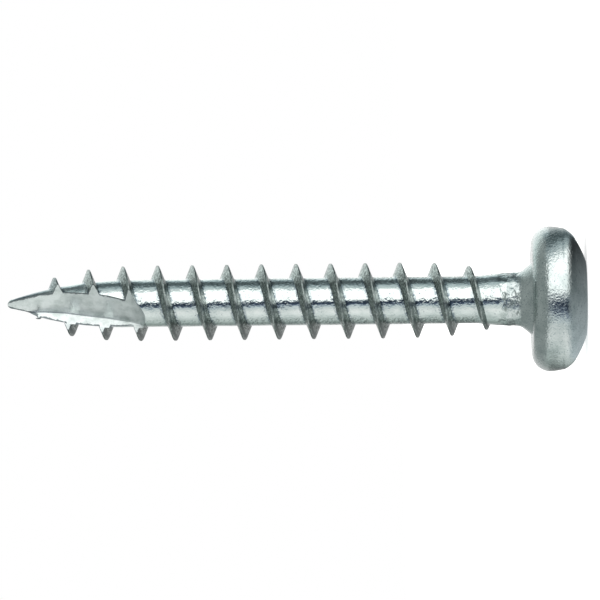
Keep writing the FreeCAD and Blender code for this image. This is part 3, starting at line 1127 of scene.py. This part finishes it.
    def uneven(self, tree: NodeTree, size: Mapping[str, Any], surface: Node) -> Node:
        """Put the surface slightly out of true, as rolling and barrelling leave it.

        Args:
            tree: the geometry tree.
            size: the tree's input sockets.
            surface: the node that gives the closed surface.

        Returns:
            The node that gives the moved surface.
        """
        place = add_node(tree, "GeometryNodeInputPosition")
        x, y, height = add_node(tree, "ShaderNodeSeparateXYZ", (place,)).outputs
        flat = add_node(tree, "ShaderNodeCombineXYZ", (x, y))
        outwards = add_node(tree, "ShaderNodeVectorMath", (flat,), operation="NORMALIZE")
        start, end = metres(self.torn_from, self.torn_to)
        edge = self.torn_edge * MM
        begun = add_node(tree, "ShaderNodeMapRange", (height, start, start + edge),
                         interpolation_type="SMOOTHSTEP")
        left = add_node(tree, "ShaderNodeMapRange", (
            height, end - edge, end, size["Torn Depth"], 0.0,
        ), interpolation_type="SMOOTHSTEP")
        torn = add_node(tree, "ShaderNodeMath", (begun, left), operation="MULTIPLY")
        for name, depth, detail in (("Wave", size["Wave Height"], 1.0),
                                    ("Mark", size["Mark Height"], 2.0), ("Torn", torn, 1.0)):
            fineness = add_node(tree, "ShaderNodeMath", (1.0, size[f"{name} Length"]),
                                operation="DIVIDE")
            waves = add_node(tree, "ShaderNodeTexNoise", {
                "Vector": place, "Scale": fineness, "Detail": detail,
            })
            sunk = add_node(tree, "ShaderNodeMath", (waves, self.wave_ceiling),
                            operation="SUBTRACT")
            swell = add_node(tree, "ShaderNodeMath", (sunk, depth), operation="MULTIPLY")
            offset = add_node(tree, "ShaderNodeVectorMath", (outwards, swell), operation="SCALE")
            surface = add_node(tree, "GeometryNodeSetPosition", {
                "Geometry": surface, "Offset": offset,
            })
        return surface

    def add_to(self, blank: Object, material: Material) -> None:
        """Wind the thread onto the blank and make the result a plain mesh.

        Args:
            blank: the blank's two turned ends.
            material: the finish of the threaded part.
        """
        modifier = blank.modifiers.new("threaded_shank", "NODES")
        modifier.node_group = self.tree(material)
        values = self.sizes()
        for item in modifier.node_group.interface.items_tree:
            if item.in_out == "INPUT" and item.name in values:
                modifier[item.identifier] = values[item.name]
        apply_modifiers(blank)


@dataclass
class PointCut:
    """The notch milled along the point, which runs out into the core.

    Its broad floor goes through the axis and its narrow wall stands beside it. Bearings are the
    ways that they face, in degrees from -Y towards +X.
    """

    depth: float = 0.67
    tip_height: float = 38.65
    # How far from the tip each stretch of the cut ends, how far the floor is out by then, as
    # the round of the cutter leaves it, and the core's radius there.
    run_out: tuple[tuple[float, float, float], ...] = (
        (-1.0, 0.0, 0.38), (0.38, 0.0, 0.38), (2.5, 0.0, 0.93), (3.8, 0.12, 1.19),
        (6.8, 0.7, 1.53), (8.3, 1.06, 1.56), (8.8, 1.25, 1.56), (9.2, 1.55, 1.56),
        (9.5, 2.1, 1.56),
    )
    # Past the core the wall steps towards -Y, so that the ridge's root stays behind the cut.
    ridge_step: float = 0.8
    ridge_clearance: float = 0.08
    corner_wear: float = 0.06
    reach: float = 3.5
    floor_bearing: float = -43.0
    wall_bearing: float = 31.0

    def build(self) -> Object:
        """Make the body that the notch takes away.

        Returns:
            The cutter, in its place.
        """
        floor_turn, wall_turn = math.radians(self.floor_bearing), math.radians(self.wall_bearing)
        outwards = Vector((math.sin(floor_turn), -math.cos(floor_turn), 0))
        along_floor = Vector((math.cos(floor_turn), math.sin(floor_turn), 0))
        along_wall = Vector((-math.cos(wall_turn), -math.sin(wall_turn), 0))
        far_floor, far_wall = along_floor * 2 * self.reach, along_wall * 2 * self.reach
        corner = along_floor * -self.depth
        rings = []
        for distance, lift, core in self.run_out:
            foot = corner + outwards * lift
            foot.z = self.tip_height - distance
            to_surface = (-(core + self.ridge_clearance) - foot.x) / along_wall.x
            edge = foot + along_wall * max(to_surface, 2 * self.corner_wear)
            step = edge + Vector((0, -self.ridge_step, 0))
            rings.append((foot + along_floor * self.corner_wear, foot + far_floor,
                          foot + far_floor + far_wall, step + far_wall, step, edge,
                          foot + along_wall * self.corner_wear))
        mesh = bmesh.new()
        loft(mesh, rings)
        return new_piece("point_cutter", mesh)


@dataclass
class CrossRecess:
    """The recess for a cross driver: two tapering wings and a round middle with a pilot."""

    span: float = 4.6
    wing_width: float = 1.0
    floor_span: float = 2.6
    floor_wing_width: float = 0.7
    depth: float = 2.1
    core_radius: float = 1.25
    floor_core_radius: float = 0.85
    pilot_depth: float = 0.45
    overrun: float = 0.3
    segments: int = 48

    def wing(self, side: Side) -> Object:
        """Make one tapering bar.

        Args:
            side: the way that the bar points.

        Returns:
            The bar, in its place.
        """
        rings = []
        for share, height in ((-self.overrun / self.depth, -self.overrun), (1.0, self.depth)):
            length = (self.span + (self.floor_span - self.span) * share) / 2
            width = (self.wing_width + (self.floor_wing_width - self.wing_width) * share) / 2
            rings.append([Vector((x * length, y * width, height))
                          for x, y in ((-1, -1), (1, -1), (1, 1), (-1, 1))])
        mesh = bmesh.new()
        loft(mesh, rings)
        mesh.transform(Matrix.Rotation(math.radians(side.value), 4, "Z"))
        return new_piece(f"recess_wing_{side.name.lower()}", mesh)

    def middle(self) -> Object:
        """Make the round middle with its pilot cone.

        Returns:
            The cone, in its place.
        """
        slope = (self.core_radius - self.floor_core_radius) / self.depth
        outline = [
            (0.0, -self.overrun),
            (self.core_radius + slope * self.overrun, -self.overrun),
            (self.floor_core_radius, self.depth),
            (0.0, self.depth + self.pilot_depth),
        ]
        return new_piece("recess_middle", spin(outline, self.segments))


@dataclass
class Screw:
    """The whole screw: the blank with its thread, and what is cut out of it."""

    blank: Blank
    thread: ThreadedShank
    cut: PointCut
    recess: CrossRecess
    sharp_edge: float = 34.0
    weld: float = 0.0005

    def take_away(self, screw: Object, cutter: Object, material: Material) -> None:
        """Cut one body out of the screw.

        Args:
            screw: the screw so far.
            cutter: what is taken away, which is deleted.
            material: the finish of the new faces.
        """
        cutter.data.materials.append(material)
        modifier = screw.modifiers.new(cutter.name, "BOOLEAN")
        modifier.operation = "DIFFERENCE"
        modifier.solver = "EXACT"
        modifier.material_mode = "TRANSFER"
        modifier.object = cutter
        apply_modifiers(screw)
        bpy.data.objects.remove(cutter)

    def shade(self, screw: Object) -> None:
        """Shade the screw smoothly, with a crease at every sharp edge.

        Args:
            screw: the finished screw.
        """
        mesh = bmesh.new()
        mesh.from_mesh(screw.data)
        bmesh.ops.remove_doubles(mesh, verts=mesh.verts, dist=self.weld * MM)
        bmesh.ops.dissolve_degenerate(mesh, edges=mesh.edges, dist=self.weld * MM)
        bmesh.ops.recalc_face_normals(mesh, faces=mesh.faces)
        for face in mesh.faces:
            face.smooth = True
        limit = math.radians(self.sharp_edge)
        for edge in mesh.edges:
            edge.smooth = edge.calc_face_angle(math.pi) < limit
        mesh.to_mesh(screw.data)
        mesh.free()

    def build(self, upset: Material, rolled: Material, milled: Material) -> Object:
        """Make the screw and give it its place in the frame.

        Args:
            upset: the finish of the head, its neck and its recess.
            rolled: the finish of the threaded part.
            milled: the finish of the cut in the point.

        Returns:
            The screw's object.
        """
        screw = self.blank.build()
        screw.data.materials.append(upset)
        self.thread.add_to(screw, rolled)
        self.take_away(screw, self.cut.build(), milled)
        for cutter in (*map(self.recess.wing, Side), self.recess.middle()):
            self.take_away(screw, cutter, upset)
        self.shade(screw)
        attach(screw, "root")
        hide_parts("pan_head_wood_screw")
        return screw


# The studio


@dataclass
class LightTent:
    """A dome of translucent cloth round the screw, lit from outside.

    Its brightness round the screw is what a polished round bar shows as bands: a broad lamp on
    one side, a slit for the lens, and darker cloth behind. Brightness is given at bearings in
    degrees from the lens, towards +X where positive.
    """

    radius: float = 900.0
    skirt: float = 20.0
    arc_steps: int = 16
    segments: int = 64
    wall: tuple[tuple[float, float, str], ...] = (
        (-180, 0.95, "#FFFFFF"), (-147, 0.55, "#FAFFFE"), (-134, 0.36, "#F0FFFB"),
        (-122, 0.45, "#F0FFFB"), (-104, 0.74, "#F4FFFC"), (-89, 0.76, "#F8FFFD"),
        (-76, 0.92, "#FAFFFE"), (-64, 1.06, "#FCFFFE"), (-50, 1.08, "#FFFFFF"),
        (-37, 0.88, "#FAFFFF"), (-27, 0.86, "#F4FCFF"), (-21, 0.66, "#E4F2FF"),
        (-16, 0.2, "#B4CEFF"), (-10, 0.08, "#A6C2EC"), (-4, 0.1, "#ACC8F0"),
        (1, 0.42, "#D8ECFF"), (5, 1.0, "#FFFFFF"), (9, 1.85, "#FFFFFF"),
        (56, 1.85, "#FFFFFF"), (64, 0.88, "#F4FEFF"), (71, 0.8, "#F0FCFF"),
        (80, 0.66, "#E8FAFF"), (88, 0.34, "#E2F8FF"), (95, 0.2, "#DFF8FF"),
        (112, 0.16, "#DFF8FF"), (123, 0.3, "#DFF8FF"), (133, 0.9, "#E8FAFF"),
        (148, 1.3, "#FAFFFE"), (165, 1.4, "#FFFFFF"), (180, 1.0, "#FFFFFF"),
    )
    brightest: float = 1.85
    # The roof's level in front, and behind on the side of -X and of +X, with the shares of the
    # radius between which one passes into the other.
    roof_front: float = 0.4
    front_change: Span = (0.3, 0.8)
    roof: Span = (0.4, 1.15)
    roof_change: Span = (0.0, 0.16)
    roof_tint: str = "#F0FBFA"
    wall_top: float = 10.0
    wall_fade: float = 20.0

    def wall_light(self, tree: NodeTree, x: NodeSocket, y: NodeSocket) -> Node:
        """Work out the wall's brightness by bearing.

        Args:
            tree: a material's tree.
            x: the socket that gives how far a place lies towards +X.
            y: the socket that gives how far it lies towards +Y, away from the lens.

        Returns:
            The node that gives the light's colour.
        """
        to_lens = add_node(tree, "ShaderNodeMath", (y, -1.0), operation="MULTIPLY")
        bearing = add_node(tree, "ShaderNodeMath", (x, to_lens), operation="ARCTAN2")
        share = add_node(tree, "ShaderNodeMapRange", (bearing, -math.pi, math.pi))
        ramp = add_node(tree, "ShaderNodeValToRGB", (share,))
        stops = ramp.color_ramp.elements
        while len(stops) < len(self.wall):
            stops.new(1.0)
        for stop, (degrees, level, tint) in zip(stops, self.wall):
            stop.position = (degrees + 180) / 360
            red, green, blue, alpha = linear(tint)
            part = level / self.brightest
            stop.color = (red * part, green * part, blue * part, alpha)
        return add_node(tree, "ShaderNodeVectorMath", (ramp, self.brightest), operation="SCALE")

    def material(self) -> Material:
        """Make the tent's glow: by bearing on its wall, even on its roof.

        Returns:
            The material, on Object coordinates.
        """
        material, tree, place = new_material("tent_cloth")
        x, y, height = add_node(tree, "ShaderNodeSeparateXYZ", (place,)).outputs
        wall = self.wall_light(tree, x, y)
        upwards = add_node(tree, "ShaderNodeMath", (height, self.radius * MM), operation="DIVIDE")
        low, high = (math.sin(math.radians(slope))
                     for slope in (self.wall_top, self.wall_top + self.wall_fade))
        roofed = add_node(tree, "ShaderNodeMapRange", (upwards, low, high),
                          interpolation_type="SMOOTHSTEP")
        dark, light = metres(*(share * self.radius for share in self.roof_change))
        across = add_node(tree, "ShaderNodeMapRange", (x, dark, light, *self.roof),
                          interpolation_type="SMOOTHSTEP")
        near, far = metres(*(share * self.radius for share in self.front_change))
        behind = add_node(tree, "ShaderNodeMapRange", (y, near, far, self.roof_front, across),
                          interpolation_type="SMOOTHSTEP")
        roof = add_node(tree, "ShaderNodeVectorMath", (linear(self.roof_tint)[:3], behind),
                        operation="SCALE")
        cloth = add_node(tree, "ShaderNodeMix", (roofed, wall, roof), data_type="RGBA")
        ray = add_node(tree, "ShaderNodeLightPath")
        seen = add_node(tree, "ShaderNodeMix", (
            ray.outputs[Ray.GLOSSY.value], linear("#FFFFFF"), cloth,
        ), data_type="RGBA")
        glow = add_node(tree, "ShaderNodeEmission", (seen, 1.0))
        add_node(tree, "ShaderNodeOutputMaterial", (glow,))
        return material

    def build(self) -> Object:
        """Make the dome, which the camera itself doesn't see.

        Returns:
            The tent.
        """
        slopes = [math.pi / 2 * k / self.arc_steps for k in range(self.arc_steps)]
        arc = [(self.radius * math.cos(s), self.radius * math.sin(s)) for s in slopes]
        outline = [(self.radius, -self.skirt), *arc, (0.0, self.radius)]
        tent = new_piece("light_tent", spin(outline, self.segments))
        tent.data.materials.append(self.material())
        tent.visible_camera = False
        tent.visible_shadow = False
        return tent


@dataclass
class Studio:
    """The white table, the white surround, the light tent and the camera."""

    tent: LightTent
    table_radius: float = 800.0
    # A ring of the table that keeps its faces even under the screw.
    table_ring: float = 60.0
    table_segments: int = 96
    table_white: str = "#F7F7F6"
    table_lift: float = 0.6
    # To gloss, the table glows with a painted reflection of the tent's light and a painted shade of
    # the screw close round its head: its radius, its levels on the side of -X and of +X, and its
    # tint.
    shade_radius: float = 4.7
    shade_fade: float = 1.1
    shade: Span = (0.72, 0.06)
    shade_darkest: float = 3.8
    shade_tint: str = "#EAF6FB"
    # Behind the screw the painted light on the table comes down: from where, and to what share.
    back_start: float = 12.0
    back_level: float = 0.55
    image_width: int = 600
    pixels_per_mm: float = 14.97
    distance: float = 450.0
    clip: Span = (1.0, 5000.0)
    sensor_width: float = 36.0
    roll_slope: float = 0.011425
    bearing_face_column: float = 531.5
    head_height: float = 3.65
    axis_below_middle: float = 1.59

    def table_material(self) -> Material:
        """Make the table's white paint.

        Returns:
            A matte white that keeps the screw's shadow and meets the white surround; to gloss it
            glows with painted light and painted shade.
        """
        material, tree, place = new_material("white_table_paint")
        paint = add_node(tree, "ShaderNodeBsdfDiffuse", (linear(self.table_white),))
        ray = add_node(tree, "ShaderNodeLightPath")
        lift = add_node(tree, "ShaderNodeMath", (
            ray.outputs[Ray.CAMERA.value], self.table_lift,
        ), operation="MULTIPLY")
        glow = add_node(tree, "ShaderNodeEmission", {"Strength": lift})
        both = add_node(tree, "ShaderNodeAddShader", (paint, glow))
        x, y, _ = add_node(tree, "ShaderNodeSeparateXYZ", (place,)).outputs
        wall = self.tent.wall_light(tree, x, y)
        distance = add_node(tree, "ShaderNodeVectorMath", (place,), operation="LENGTH")
        inner, outer = metres(self.shade_radius, self.shade_radius + self.shade_fade)
        lit = add_node(tree, "ShaderNodeMapRange", (distance, inner, outer),
                       interpolation_type="SMOOTHSTEP")
        level = add_node(tree, "ShaderNodeMapRange", (
            x, -inner, self.shade_darkest * MM, *self.shade,
        ))
        shade = add_node(tree, "ShaderNodeVectorMath", (linear(self.shade_tint)[:3], level),
                         operation="SCALE")
        behind = add_node(tree, "ShaderNodeMapRange", (
            y, 0.0, self.back_start * MM, 1.0, self.back_level,
        ))
        carried = add_node(tree, "ShaderNodeVectorMath", (wall, behind), operation="SCALE")
        # Painted light and painted shade, which gloss sees on the table in place of its paint.
        shine = add_node(tree, "ShaderNodeMix", (lit, shade, carried), data_type="RGBA")
        sheen = add_node(tree, "ShaderNodeEmission", (shine, 1.0))
        top = add_node(tree, "ShaderNodeMixShader", (ray.outputs[Ray.GLOSSY.value], both, sheen))
        add_node(tree, "ShaderNodeOutputMaterial", (top,))
        return material

    def build_table(self) -> Object:
        """Make the table top under the screw.

        Returns:
            The table.
        """
        outline = [(radius, 0.0) for radius in (0.0, self.table_ring, self.table_radius)]
        table = new_piece("table", spin(outline, self.table_segments))
        table.data.materials.append(self.table_material())
        return table

    def light_world(self) -> None:
        """Make the surround white to the camera and in gloss and glass."""
        world = bpy.data.worlds.new("white_surround")
        world.use_nodes = True
        tree = world.node_tree
        tree.nodes.clear()
        rays = add_node(tree, "ShaderNodeLightPath").outputs
        camera, gloss, glass = (rays[ray.value] for ray in Ray)
        shown = add_node(tree, "ShaderNodeMath", (camera, gloss), operation="MAXIMUM")
        white = add_node(tree, "ShaderNodeMath", (shown, glass), operation="MAXIMUM")
        sky = add_node(tree, "ShaderNodeBackground", (linear("#FFFFFF"), white))
        add_node(tree, "ShaderNodeOutputWorld", (sky,))
        bpy.context.scene.world = world

    def place_camera(self) -> Object:
        """Set the camera level with the screw and on its side, as it was photographed.

        Returns:
            The camera.
        """
        back, tip_way, upper_side = Vector((0, -1, 0)), Vector((0, 0, 1)), Vector((1, 0, 0))
        roll = math.atan(self.roll_slope)
        right = -tip_way * math.cos(roll) - upper_side * math.sin(roll)
        up = -tip_way * math.sin(roll) + upper_side * math.cos(roll)
        middle = self.image_width / 2
        to_head = (self.bearing_face_column - middle) / self.pixels_per_mm
        aim = Vector((0, 0, self.head_height + to_head))
        aim += up * (self.axis_below_middle / self.pixels_per_mm)
        data = bpy.data.cameras.new("camera")
        data.sensor_width = self.sensor_width
        data.lens = self.sensor_width * self.distance * self.pixels_per_mm / self.image_width
        data.clip_start, data.clip_end = metres(*self.clip)
        camera = bpy.data.objects.new("camera", data)
        turn = Matrix((right, up, back)).transposed().to_4x4()
        camera.matrix_world = Matrix.Translation((aim + back * self.distance) * MM) @ turn
        bpy.context.scene.collection.objects.link(camera)
        bpy.context.scene.camera = camera
        return camera

    def build(self) -> None:
        """Set up the table, the surround, the tent, the camera and plain colour."""
        self.light_world()
        self.build_table()
        self.tent.build()
        self.place_camera()
        bpy.context.scene.view_settings.view_transform = "Standard"


def main() -> None:
    """Build the studio and the screw, and report each piece."""
    logging.basicConfig(level=logging.INFO, format="%(name)s: %(message)s")
    Studio(tent=LightTent()).build()
    log.info("studio: white table, tent and camera")
    thread = ThreadedShank()
    screw = Screw(Blank(), thread, PointCut(), CrossRecess())
    piece = screw.build(UpsetZinc().make(), RolledZinc().make(thread), MilledZinc().make(thread))
    faces = sum(len(face.vertices) - 2 for face in piece.data.polygons)
    log.info("%s: %d triangles", piece.name, faces)


if __name__ == "__main__":
    main()
